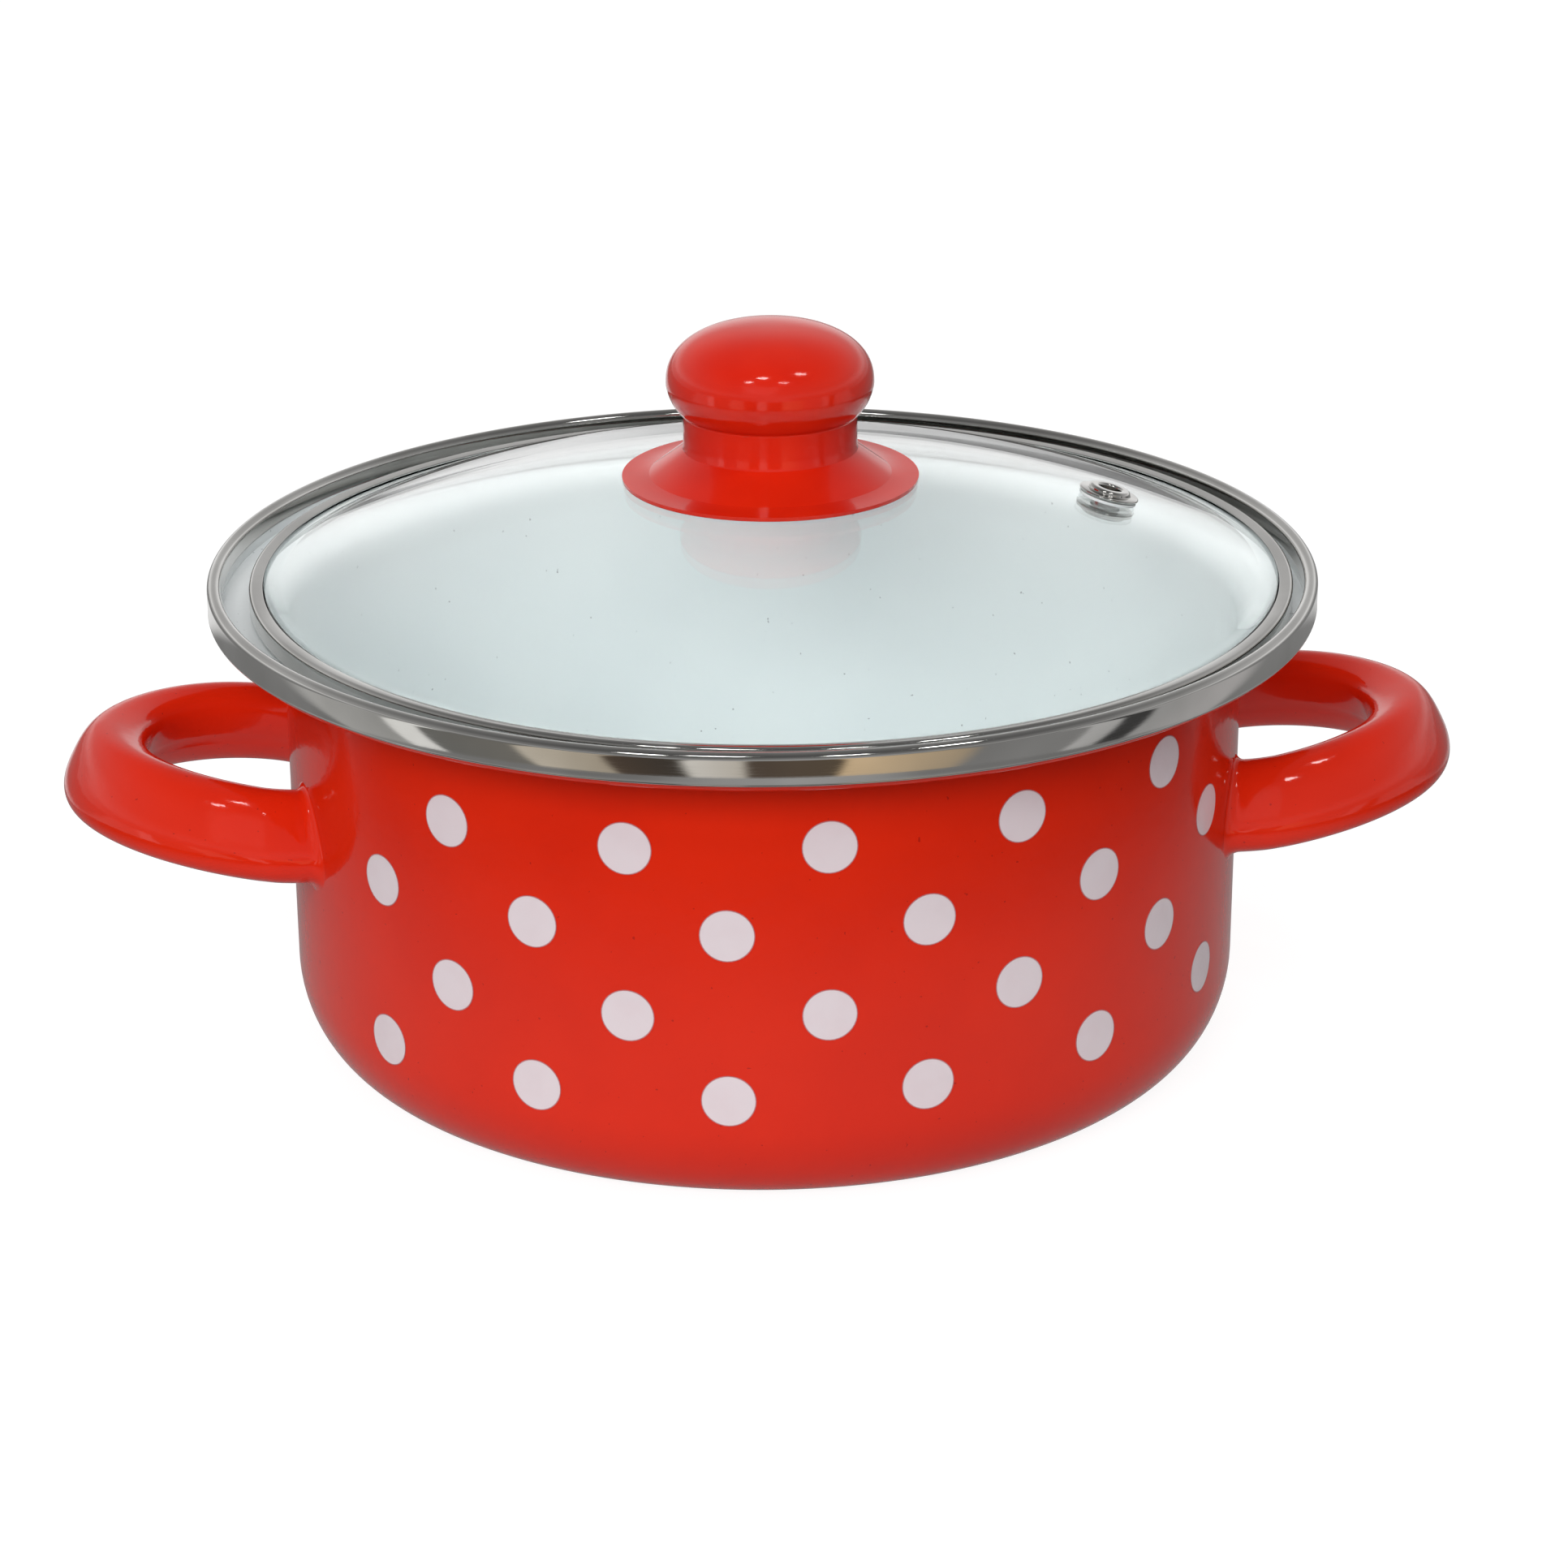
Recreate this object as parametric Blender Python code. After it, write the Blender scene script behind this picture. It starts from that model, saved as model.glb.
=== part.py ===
"""Two-handled enamelled steel casserole with a glass lid.

Metres, +Z up. The base rests on z = 0, the pot's axis is the Z axis and the handles lie on +X and -X.
The lid is modelled about its own axis, which is the empty lid_axis.
"""

import math

import bmesh
import bpy
from mathutils import Matrix, Vector

# Clearance between pieces that touch.
GAP = 0.0003

# Pot: pressed steel.
WALL_RADIUS = 0.1012
RIM_HEIGHT = 0.1030
SHEET = 0.0010
CORNER_RUN = 0.0132
CORNER_RISE = 0.0185
FLARE_RADIUS = 0.0045
RIM_OVERHANG = 0.0153
SEAT_DEPTH = 0.0064
UPSTAND_BEND = 0.0018
LINING = 0.0004

# Rolled stainless trim over the pot's upstand.
TRIM_SHEET = 0.0004
TRIM_WIDTH = 0.0029
TRIM_BAND_HEIGHT = 0.0065
TRIM_TAPER = 0.0003
TRIM_LIP_RADIUS = 0.00035
TRIM_INSIDE_HEIGHT = 0.0040

# Handles: hollow loops with an oblong section that leans in at the top. The legs draw together a
# little where they meet the wall, and the loop climbs fastest there.
HANDLE_REACH = 0.0405
HANDLE_LEG = 0.0042
HANDLE_HALF_SPACING = 0.0331
HANDLE_PINCH = 0.0026
HANDLE_BEND_FULLNESS = 1.82
HANDLE_HEIGHT = 0.0554
HANDLE_RISE = 0.0060
HANDLE_BOW = 0.5
HANDLE_SECTION_TALL = 0.0190
HANDLE_SECTION_WIDE = 0.0112
HANDLE_SECTION_FULLNESS = 3.1
HANDLE_LEAN = math.radians(27.3)
HANDLE_SHEET = 0.0012

# Lid: domed glass in a stainless ring.
LID_PLAY = 0.0040
LID_REST_SHIFT = 0.0018
RING_HEIGHT = 0.0047
RING_SHEET = 0.0004
RING_LIP = 0.0029
RING_LIP_DROP = 0.0002
RING_CORNER = 0.0009
DOME_RADIUS = 0.2760
GLASS_THICKNESS = 0.0038
CENTRE_HOLE_PLAY = 0.0012

# Steam vent in the glass.
VENT_DISTANCE = 0.0720
VENT_ANGLE = math.radians(3.1)
VENT_BORE_RADIUS = 0.0024
VENT_TUBE_WALL = 0.0005
VENT_FLANGE_RADIUS = 0.00645
VENT_FLANGE_THICKNESS = 0.0006
VENT_COLLAR_RADIUS = 0.0045
VENT_COLLAR_HEIGHT = 0.0010
VENT_GASKET_THICKNESS = 0.0006
VENT_WASHER_RADIUS = 0.0062
VENT_WASHER_THICKNESS = 0.0006
VENT_TAIL_RADIUS = 0.0048

# Knob and what fastens it.
SKIRT_RADIUS = 0.0311
SKIRT_EDGE = 0.0009
NECK_RADIUS = 0.0182
NECK_LOW = 0.0058
NECK_HIGH = 0.0112
UNDERCUT_RADIUS = 0.0203
UNDERCUT_HEIGHT = 0.0144
HEAD_RADIUS = 0.0217
HEAD_WAIST_HEIGHT = 0.0193
KNOB_HEIGHT = 0.0318
HEAD_FULLNESS = 2.2
SKIRT_FLARE = 2.2
KNOB_WALL = 0.0026
BOSS_RADIUS = 0.0080
INSERT_RADIUS = 0.0048
INSERT_LENGTH = 0.0130
SCREW_RADIUS = 0.0024
SCREW_HEAD_RADIUS = 0.0045
SCREW_HEAD_HEIGHT = 0.0028
SCREW_HEAD_FACE_RADIUS = 0.0034
SCREW_HEAD_EDGE = 0.0010
SCREW_RECESS_RADIUS = 0.0020
SCREW_RECESS_DEPTH = 0.0014
SCREW_TIP_CHAMFER = 0.0010
SCREW_TIP_MARGIN = 0.0020
GASKET_RADIUS = 0.0090
GASKET_THICKNESS = 0.0010
WASHER_RADIUS = 0.0075
WASHER_THICKNESS = 0.0010

# Facets round each kind of piece. Nested turned pieces share a count so that their facets line up.
POT_FACETS = 36
KNOB_FACETS = 24
HANDLE_FACETS = 16
SMALL_FACETS = 16

# Sizes that follow from the ones above.
TRIM_RADIUS = WALL_RADIUS + RIM_OVERHANG
TRIM_INSIDE_RADIUS = TRIM_RADIUS - TRIM_WIDTH
UPSTAND_RADIUS = TRIM_RADIUS - TRIM_TAPER - TRIM_SHEET - GAP
SEAT_HEIGHT = RIM_HEIGHT - SEAT_DEPTH
LEDGE_TOP = SEAT_HEIGHT - LINING - GAP
RING_RADIUS = TRIM_INSIDE_RADIUS - LID_PLAY
RING_BOTTOM = SEAT_HEIGHT + GAP
RING_TOP = RING_BOTTOM + RING_HEIGHT
RING_EYE_RADIUS = RING_RADIUS - RING_LIP
GLASS_RADIUS = RING_RADIUS - RING_SHEET - 3 * GAP
GLASS_LAND = RING_BOTTOM + RING_SHEET + GAP
GLASS_AT_RING = RING_TOP - RING_LIP_DROP - RING_SHEET - GAP
DOME_CENTRE = GLASS_AT_RING - math.sqrt(DOME_RADIUS**2 - RING_EYE_RADIUS**2)
DOME_INSIDE_RADIUS = DOME_RADIUS - GLASS_THICKNESS
APEX = DOME_CENTRE + DOME_RADIUS
CENTRE_HOLE_RADIUS = SCREW_RADIUS + CENTRE_HOLE_PLAY


def arc(centre, radii, start, end, steps):
    """Points from start to end, in degrees, round an ellipse in the (radius, height) plane."""
    angles = [math.radians(start + (end - start) * i / steps) for i in range(steps + 1)]
    return [(centre[0] + radii[0] * math.cos(a), centre[1] + radii[1] * math.sin(a)) for a in angles]


def dome_height(radius, sphere):
    return DOME_CENTRE + math.sqrt(sphere**2 - radius**2)


def dome_arc(sphere, start, end, steps):
    """Points on the lid's dome between two distances from its axis."""
    reach = [start + (end - start) * i / steps for i in range(steps + 1)]
    return [(r, dome_height(r, sphere)) for r in reach]


def new_object(name, mesh_builder, look, parent):
    bmesh.ops.remove_doubles(mesh_builder, verts=mesh_builder.verts, dist=1e-7)
    bmesh.ops.recalc_face_normals(mesh_builder, faces=mesh_builder.faces)
    mesh = bpy.data.meshes.new(name)
    mesh_builder.to_mesh(mesh)
    mesh_builder.free()
    mesh.shade_smooth()
    mesh.set_sharp_from_angle(angle=math.radians(32.0))
    mesh.materials.append(look)
    piece = bpy.data.objects.new(name, mesh)
    bpy.context.scene.collection.objects.link(piece)
    piece.parent = parent
    return piece


def turned(name, outline, facets, look, parent):
    """A solid of revolution about Z from a closed outline of (radius, height) points."""
    builder = bmesh.new()
    rings = []
    for radius, height in outline:
        if radius < 1e-9:
            rings.append([builder.verts.new((0.0, 0.0, height))] * facets)
            continue
        angles = [2 * math.pi * i / facets for i in range(facets)]
        rings.append([builder.verts.new((radius * math.cos(a), radius * math.sin(a), height)) for a in angles])
    for lower, upper in zip(rings, rings[1:] + rings[:1]):
        for i in range(facets):
            j = (i + 1) % facets
            corners = list(dict.fromkeys((lower[i], lower[j], upper[j], upper[i])))
            if len(corners) > 2:
                builder.faces.new(corners)
    return new_object(name, builder, look, parent)


def paint(name, colour, roughness, metallic=0.0, transmission=0.0):
    look = bpy.data.materials.new(name)
    look.use_nodes = True
    shader = look.node_tree.nodes["Principled BSDF"]
    shader.inputs["Base Color"].default_value = (*colour, 1.0)
    shader.inputs["Roughness"].default_value = roughness
    shader.inputs["Metallic"].default_value = metallic
    shader.inputs["Transmission Weight"].default_value = transmission
    return look


def axis_empty(name, place):
    empty = bpy.data.objects.new(name, None)
    empty.location = place
    bpy.context.scene.collection.objects.link(empty)
    return empty


for old in list(bpy.data.objects):
    bpy.data.objects.remove(old)

red_enamel = paint("red_enamel", (0.62, 0.02, 0.012), 0.12)
white_enamel = paint("white_enamel", (0.86, 0.88, 0.88), 0.15)
stainless = paint("stainless", (0.62, 0.61, 0.59), 0.18, metallic=1.0)
clear_glass = paint("clear_glass", (0.93, 0.97, 0.97), 0.02, transmission=1.0)
red_plastic = paint("red_plastic", (0.66, 0.02, 0.012), 0.10)
white_silicone = paint("white_silicone", (0.80, 0.82, 0.82), 0.50)
plated_steel = paint("plated_steel", (0.70, 0.70, 0.70), 0.25, metallic=1.0)
brass = paint("brass", (0.72, 0.52, 0.22), 0.28, metallic=1.0)

pot_axis = axis_empty("pot_axis", (0.0, 0.0, 0.0))
lid_axis = axis_empty("lid_axis", (LID_REST_SHIFT, 0.0, 0.0))


def pot_section(offset):
    """The pot's section at this distance inside the steel's outer face, from the axis up to the upstand's foot."""
    corner = (WALL_RADIUS - CORNER_RUN, CORNER_RISE)
    corner_radii = (CORNER_RUN - offset, CORNER_RISE - offset)
    ledge = LEDGE_TOP - SHEET + offset
    flare = (WALL_RADIUS + FLARE_RADIUS, LEDGE_TOP - SHEET - FLARE_RADIUS)
    flare_radii = (FLARE_RADIUS + offset, FLARE_RADIUS + offset)
    bend = (UPSTAND_RADIUS - UPSTAND_BEND, ledge + UPSTAND_BEND - offset)
    bend_radius = max(UPSTAND_BEND - offset, 0.0)
    points = [(0.0, offset)]
    points += arc(corner, corner_radii, -90, 0, 4)
    points += arc(flare, flare_radii, 180, 90, 3)
    if bend_radius > 0.0:
        points += arc(bend, (bend_radius, bend_radius), -90, 0, 2)
    else:
        points.append((UPSTAND_RADIUS - offset, ledge))
    return points


def make_pot_shell():
    """Flat base, rounded corner, upright wall, a ledge that the lid sits on, and a short upstand."""
    top = RIM_HEIGHT - TRIM_SHEET - 2 * GAP - SHEET / 2
    top_edge = arc((UPSTAND_RADIUS - SHEET / 2, top), (SHEET / 2, SHEET / 2), 0, 180, 2)
    outline = pot_section(0.0) + top_edge + pot_section(SHEET)[::-1]
    return turned("pot_shell", outline, POT_FACETS, red_enamel, pot_axis)


def make_enamel_lining():
    """The white coat over the steel's inner face, up to just under the trim's inner edge."""
    top = RIM_HEIGHT - TRIM_INSIDE_HEIGHT - GAP
    outer = pot_section(SHEET + GAP)
    inner = pot_section(SHEET + GAP + LINING)
    outline = outer + [(outer[-1][0], top), (inner[-1][0], top)] + inner[::-1]
    return turned("enamel_lining", outline, POT_FACETS, white_enamel, pot_axis)


def make_rim_trim():
    """An inverted channel: a short inner leg, a round bead, and an outer band that ends in a small lip."""
    bead_radius = TRIM_WIDTH / 2
    bead = (TRIM_RADIUS - bead_radius, RIM_HEIGHT - bead_radius)
    hollow_radius = bead_radius - TRIM_SHEET
    band_bottom = RIM_HEIGHT - TRIM_BAND_HEIGHT
    band_inside = TRIM_RADIUS - TRIM_TAPER - TRIM_SHEET
    lip = (band_inside + TRIM_LIP_RADIUS, band_bottom + TRIM_LIP_RADIUS)
    leg_bottom = RIM_HEIGHT - TRIM_INSIDE_HEIGHT
    outline = [(TRIM_INSIDE_RADIUS, leg_bottom), (TRIM_INSIDE_RADIUS + TRIM_SHEET, leg_bottom)]
    outline += arc(bead, (hollow_radius, hollow_radius), 180, 0, 4)
    outline += arc(lip, (TRIM_LIP_RADIUS, TRIM_LIP_RADIUS), 180, 395, 4)
    outline += arc(bead, (bead_radius, bead_radius), 0, 180, 6)
    return turned("rim_trim", outline, POT_FACETS, stainless, pot_axis)


def signed_power(value, power):
    return math.copysign(abs(value) ** power, value)


def oblong(tall, wide, steps):
    """A rounded oblong that leans in at its top, as (outward, up) points, anticlockwise."""
    power = 2.0 / HANDLE_SECTION_FULLNESS
    points = []
    for i in range(steps):
        a = 2 * math.pi * i / steps
        x = 0.5 * wide * signed_power(math.cos(a), power)
        y = 0.5 * tall * signed_power(math.sin(a), power)
        lean_x = x * math.cos(HANDLE_LEAN) - y * math.sin(HANDLE_LEAN)
        lean_y = x * math.sin(HANDLE_LEAN) + y * math.cos(HANDLE_LEAN)
        points.append((lean_x, lean_y))
    return points


def handle_stations(leg_steps, bend_steps):
    """Centre line of the loop at +X with its outward direction: out along a leg, round, and back."""
    root = math.sqrt((WALL_RADIUS + GAP) ** 2 - (HANDLE_HALF_SPACING - HANDLE_PINCH) ** 2)
    bend_start = WALL_RADIUS + HANDLE_LEG
    leg = bend_start - root
    reach = WALL_RADIUS + HANDLE_REACH - bend_start
    half = []
    for i in range(leg_steps):
        left = 1.0 - i / leg_steps
        place = Vector((root + leg * (1.0 - left), HANDLE_HALF_SPACING - HANDLE_PINCH * left**2, 0.0))
        half.append((place, Vector((-2 * HANDLE_PINCH * left / leg, 1.0, 0.0)).normalized()))
    power = 2.0 / HANDLE_BEND_FULLNESS
    for i in range(bend_steps + 1):
        a = 0.5 * math.pi * (1.0 - i / bend_steps)
        along = max(math.cos(a), 0.0)
        place = Vector((bend_start + reach * along**power, HANDLE_HALF_SPACING * math.sin(a) ** power, 0.0))
        outward = Vector((along ** (2 - power) / reach, math.sin(a) ** (2 - power) / HANDLE_HALF_SPACING, 0.0))
        half.append((place, outward.normalized()))
    for place, _ in half:
        share = (place.x - root) / (leg + reach)
        place.z = HANDLE_HEIGHT + HANDLE_RISE * share * (1.0 + HANDLE_BOW * (1.0 - share))
    across = Vector((1.0, -1.0, 1.0))
    return [(place * across, outward * across) for place, outward in half[:-1]] + half[::-1]


def make_handle(name, side):
    """A hollow loop whose two open ends meet the wall. side is 1 at +X and -1 at -X."""
    builder = bmesh.new()
    skins = []
    for tall, wide in (
        (HANDLE_SECTION_TALL, HANDLE_SECTION_WIDE),
        (HANDLE_SECTION_TALL - 2 * HANDLE_SHEET, HANDLE_SECTION_WIDE - 2 * HANDLE_SHEET),
    ):
        section = oblong(tall, wide, HANDLE_FACETS)
        stations = handle_stations(2, 9)
        skin = []
        for number, (place, outward) in enumerate(stations):
            ring = []
            for across, up in section:
                point = place + outward * across + Vector((0.0, 0.0, up))
                if number in (0, len(stations) - 1):
                    point.x = math.sqrt((WALL_RADIUS + GAP) ** 2 - point.y**2)
                ring.append(builder.verts.new((side * point.x, point.y, point.z)))
            skin.append(ring)
        skins.append(skin)
    outer, inner = skins
    for skin in skins:
        for before, after in zip(skin, skin[1:]):
            for i in range(HANDLE_FACETS):
                j = (i + 1) % HANDLE_FACETS
                builder.faces.new((before[i], before[j], after[j], after[i]))
    for end in (0, -1):
        for i in range(HANDLE_FACETS):
            j = (i + 1) % HANDLE_FACETS
            builder.faces.new((outer[end][i], outer[end][j], inner[end][j], inner[end][i]))
    return new_object(name, builder, red_enamel, pot_axis)


def make_lid_glass():
    """A domed disc with a flat land under its edge, a centre hole, and a hole for the vent."""
    land_radius = math.sqrt(DOME_INSIDE_RADIUS**2 - (GLASS_LAND - DOME_CENTRE) ** 2)
    underside = dome_arc(DOME_INSIDE_RADIUS, CENTRE_HOLE_RADIUS, GASKET_RADIUS, 1)[:-1]
    underside += dome_arc(DOME_INSIDE_RADIUS, GASKET_RADIUS, land_radius, 5)
    top = dome_arc(DOME_RADIUS, GLASS_RADIUS, CENTRE_HOLE_RADIUS, 6)
    outline = underside + [(GLASS_RADIUS, GLASS_LAND)] + top
    glass = turned("lid_glass", outline, POT_FACETS, clear_glass, lid_axis)
    bore = VENT_BORE_RADIUS + VENT_TUBE_WALL + GAP
    reach = GLASS_THICKNESS + VENT_BORE_RADIUS
    drill = turned("vent_drill", [(0, -reach), (bore, -reach), (bore, reach), (0, reach)], 20, stainless, lid_axis)
    drill.matrix_local = vent_frame()
    drill.hide_render = True
    drill.display_type = "WIRE"
    cut = glass.modifiers.new("vent_hole", "BOOLEAN")
    cut.operation = "DIFFERENCE"
    cut.solver = "EXACT"
    cut.object = drill
    return glass


def make_lid_ring():
    """A rolled channel round the edge of the glass. Its upper lip dips to follow the dome."""
    inner_corner = RING_CORNER - RING_SHEET
    lip_top = RING_TOP - RING_LIP_DROP
    low = (RING_RADIUS - RING_CORNER, RING_BOTTOM + RING_CORNER)
    high = (RING_RADIUS - RING_CORNER, RING_TOP - RING_CORNER)
    outline = [(RING_EYE_RADIUS, RING_BOTTOM)]
    outline += arc(low, (RING_CORNER, RING_CORNER), -90, 0, 2)
    outline += arc(high, (RING_CORNER, RING_CORNER), 0, 90, 2)
    outline += [(RING_EYE_RADIUS, lip_top), (RING_EYE_RADIUS, lip_top - RING_SHEET)]
    outline += arc(high, (inner_corner, inner_corner), 90, 0, 2)
    outline += arc(low, (inner_corner, inner_corner), 0, -90, 2)
    outline += [(RING_EYE_RADIUS, RING_BOTTOM + RING_SHEET)]
    return turned("lid_ring", outline, POT_FACETS, stainless, lid_axis)


def vent_frame():
    """Where the vent's axis leaves the top of the glass, square to the dome."""
    tilt = math.asin(VENT_DISTANCE / DOME_RADIUS)
    height = dome_height(VENT_DISTANCE, DOME_RADIUS)
    place = Matrix.Translation((VENT_DISTANCE, 0.0, height))
    return Matrix.Rotation(VENT_ANGLE, 4, "Z") @ place @ Matrix.Rotation(tilt, 4, "Y")


def make_vent():
    """An eyelet through the glass, a gasket under its flange, and a washer that its rolled tail holds."""
    tube = VENT_BORE_RADIUS + VENT_TUBE_WALL
    clear = tube + GAP
    gasket_bottom = GAP
    gasket_top = gasket_bottom + VENT_GASKET_THICKNESS
    flange_bottom = gasket_top + GAP
    flange_top = flange_bottom + VENT_FLANGE_THICKNESS
    collar_top = flange_top + VENT_COLLAR_HEIGHT
    washer_top = -GLASS_THICKNESS - 2 * GAP
    washer_bottom = washer_top - VENT_WASHER_THICKNESS
    tail_top = washer_bottom - GAP
    tail_bottom = tail_top - VENT_TUBE_WALL
    bevel = VENT_FLANGE_THICKNESS / 2
    eyelet = [(VENT_BORE_RADIUS, tail_bottom), (VENT_TAIL_RADIUS, tail_bottom), (VENT_TAIL_RADIUS, tail_top)]
    eyelet += [(tube, tail_top), (tube, flange_bottom), (VENT_FLANGE_RADIUS - bevel, flange_bottom)]
    eyelet += [(VENT_FLANGE_RADIUS, flange_bottom + bevel), (VENT_FLANGE_RADIUS - bevel, flange_top)]
    eyelet += [(VENT_COLLAR_RADIUS, flange_top), (VENT_COLLAR_RADIUS, collar_top - bevel)]
    eyelet += [(VENT_COLLAR_RADIUS - bevel, collar_top), (VENT_BORE_RADIUS + bevel, collar_top)]
    eyelet += [(VENT_BORE_RADIUS, collar_top - bevel)]
    gasket = washer_outline(clear, VENT_FLANGE_RADIUS - GAP, gasket_bottom, gasket_top)
    washer = washer_outline(clear, VENT_WASHER_RADIUS, washer_bottom, washer_top)
    pieces = [
        turned("vent_eyelet", eyelet, SMALL_FACETS, stainless, lid_axis),
        turned("vent_gasket", gasket, SMALL_FACETS, white_silicone, lid_axis),
        turned("vent_washer", washer, SMALL_FACETS, stainless, lid_axis),
    ]
    for piece in pieces:
        piece.matrix_local = vent_frame()
    return pieces


def washer_outline(bore, radius, bottom, top):
    return [(bore, bottom), (radius, bottom), (radius, top), (bore, top)]


def knob_profile():
    """Outside of the knob as (radius, height above the glass's apex), from the skirt's edge up to the top."""
    skirt_bottom = dome_height(SKIRT_RADIUS, DOME_RADIUS) - APEX + GAP
    skirt_top = skirt_bottom + SKIRT_EDGE
    points = [(SKIRT_RADIUS, skirt_bottom), (SKIRT_RADIUS, skirt_top)]
    power = 2.0 / SKIRT_FLARE
    for i in range(1, 7):
        a = 0.5 * math.pi * i / 6
        radius = SKIRT_RADIUS - (SKIRT_RADIUS - NECK_RADIUS) * math.sin(a) ** power
        height = NECK_LOW - (NECK_LOW - skirt_top) * math.cos(a) ** power
        points.append((radius, height))
    points += [(NECK_RADIUS, NECK_HIGH), (UNDERCUT_RADIUS, UNDERCUT_HEIGHT)]
    power = 2.0 / HEAD_FULLNESS
    for i in range(8):
        a = 0.5 * math.pi * i / 7
        radius = HEAD_RADIUS * math.cos(a) ** power if i < 7 else 0.0
        height = HEAD_WAIST_HEIGHT + (KNOB_HEIGHT - HEAD_WAIST_HEIGHT) * math.sin(a) ** power
        points.append((radius, height))
    return points


def make_knob():
    """A moulded knob, hollow under its skirt and neck, with a centre boss for the threaded insert."""
    foot = GAP + GASKET_THICKNESS + GAP
    bore = INSERT_RADIUS + GAP
    bore_top = foot + INSERT_LENGTH + 2 * GAP
    skirt_bottom = dome_height(SKIRT_RADIUS, DOME_RADIUS) - APEX + GAP
    hollow_top = HEAD_WAIST_HEIGHT
    core = NECK_RADIUS - KNOB_WALL
    hollow = [(BOSS_RADIUS, hollow_top), (core, hollow_top), (core, NECK_LOW)]
    hollow += [(SKIRT_RADIUS - 2 * KNOB_WALL, skirt_bottom + SKIRT_EDGE)]
    hollow += [(SKIRT_RADIUS - SKIRT_EDGE, skirt_bottom)]
    outline = [(0.0, bore_top), (bore, bore_top), (bore, foot), (BOSS_RADIUS, foot)] + hollow + knob_profile()
    outline = [(radius, APEX + height) for radius, height in outline]
    return turned("knob", outline, KNOB_FACETS, red_plastic, lid_axis)


def make_knob_fixings():
    """Insert, two gaskets, washer and screw, stacked on the lid's axis."""
    screw_clear = SCREW_RADIUS + GAP
    upper_bottom = APEX + GAP
    upper_top = upper_bottom + GASKET_THICKNESS
    insert_bottom = upper_top + GAP
    insert_top = insert_bottom + INSERT_LENGTH
    lower_top = dome_height(GASKET_RADIUS, DOME_INSIDE_RADIUS) - GAP
    lower_bottom = lower_top - GASKET_THICKNESS
    washer_top = lower_bottom - GAP
    washer_bottom = washer_top - WASHER_THICKNESS
    head_top = washer_bottom - GAP
    head_bottom = head_top - SCREW_HEAD_HEIGHT
    tip = insert_top - SCREW_TIP_MARGIN
    screw = [(0.0, head_bottom + SCREW_RECESS_DEPTH), (SCREW_RECESS_RADIUS, head_bottom)]
    screw += [(SCREW_HEAD_FACE_RADIUS, head_bottom), (SCREW_HEAD_RADIUS, head_bottom + SCREW_HEAD_EDGE)]
    screw += [(SCREW_HEAD_RADIUS, head_top), (SCREW_RADIUS, head_top), (SCREW_RADIUS, tip - SCREW_TIP_CHAMFER)]
    screw += [(SCREW_RADIUS - SCREW_TIP_CHAMFER, tip), (0.0, tip)]
    insert = washer_outline(screw_clear, INSERT_RADIUS, insert_bottom, insert_top)
    upper = washer_outline(screw_clear, GASKET_RADIUS, upper_bottom, upper_top)
    lower = washer_outline(screw_clear, GASKET_RADIUS, lower_bottom, lower_top)
    washer = washer_outline(screw_clear, WASHER_RADIUS, washer_bottom, washer_top)
    turned("knob_insert", insert, SMALL_FACETS, brass, lid_axis)
    turned("knob_gasket_upper", upper, SMALL_FACETS, white_silicone, lid_axis)
    turned("knob_gasket_lower", lower, SMALL_FACETS, white_silicone, lid_axis)
    turned("knob_washer", washer, SMALL_FACETS, plated_steel, lid_axis)
    turned("knob_screw", screw, SMALL_FACETS, plated_steel, lid_axis)


make_pot_shell()
make_enamel_lining()
make_rim_trim()
make_handle("handle_right", 1)
make_handle("handle_left", -1)
make_lid_glass()
make_lid_ring()
make_vent()
make_knob()
make_knob_fixings()
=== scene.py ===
import math

import bmesh
import bpy
from mathutils import Matrix, Vector


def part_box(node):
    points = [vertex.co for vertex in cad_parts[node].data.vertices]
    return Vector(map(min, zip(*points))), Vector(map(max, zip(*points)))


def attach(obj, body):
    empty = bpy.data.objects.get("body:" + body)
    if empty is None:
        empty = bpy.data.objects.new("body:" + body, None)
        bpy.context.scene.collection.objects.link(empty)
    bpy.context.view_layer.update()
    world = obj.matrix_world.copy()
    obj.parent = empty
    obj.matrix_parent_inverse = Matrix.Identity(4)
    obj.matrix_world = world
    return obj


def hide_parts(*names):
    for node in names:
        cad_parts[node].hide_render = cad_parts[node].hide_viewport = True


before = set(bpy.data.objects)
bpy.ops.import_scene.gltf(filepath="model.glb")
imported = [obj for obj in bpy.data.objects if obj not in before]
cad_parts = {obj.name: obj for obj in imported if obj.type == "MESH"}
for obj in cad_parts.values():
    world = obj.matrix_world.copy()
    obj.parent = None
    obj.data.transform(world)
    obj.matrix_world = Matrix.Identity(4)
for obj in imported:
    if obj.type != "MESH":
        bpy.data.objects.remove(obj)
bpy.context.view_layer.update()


# ---------------------------------------------------------------------------------------------
# The studio: a white floor and backdrop, six small ceiling panels and two large soft lamps, one in
# front and one behind. Gloss surfaces mirror the four forward panels. The other lamps only give light.

scene = bpy.context.scene
scene.view_settings.view_transform = "Standard"
scene.view_settings.look = "None"

rim_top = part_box("rim_trim")[1].z
trim_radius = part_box("rim_trim")[1].x
pot_turn = math.radians(4.3)
camera_elevation = math.radians(21.36)
camera_distance = 7.5165 * trim_radius
camera_roll = math.radians(-0.27)
aim = Vector((0.0371 * trim_radius, 0.0, rim_top - 0.4403 * trim_radius))
camera_back = Vector((0.0, -math.cos(camera_elevation), math.sin(camera_elevation)))
turned_to_pot = Matrix.Rotation(-pot_turn, 3, "Z")

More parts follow.
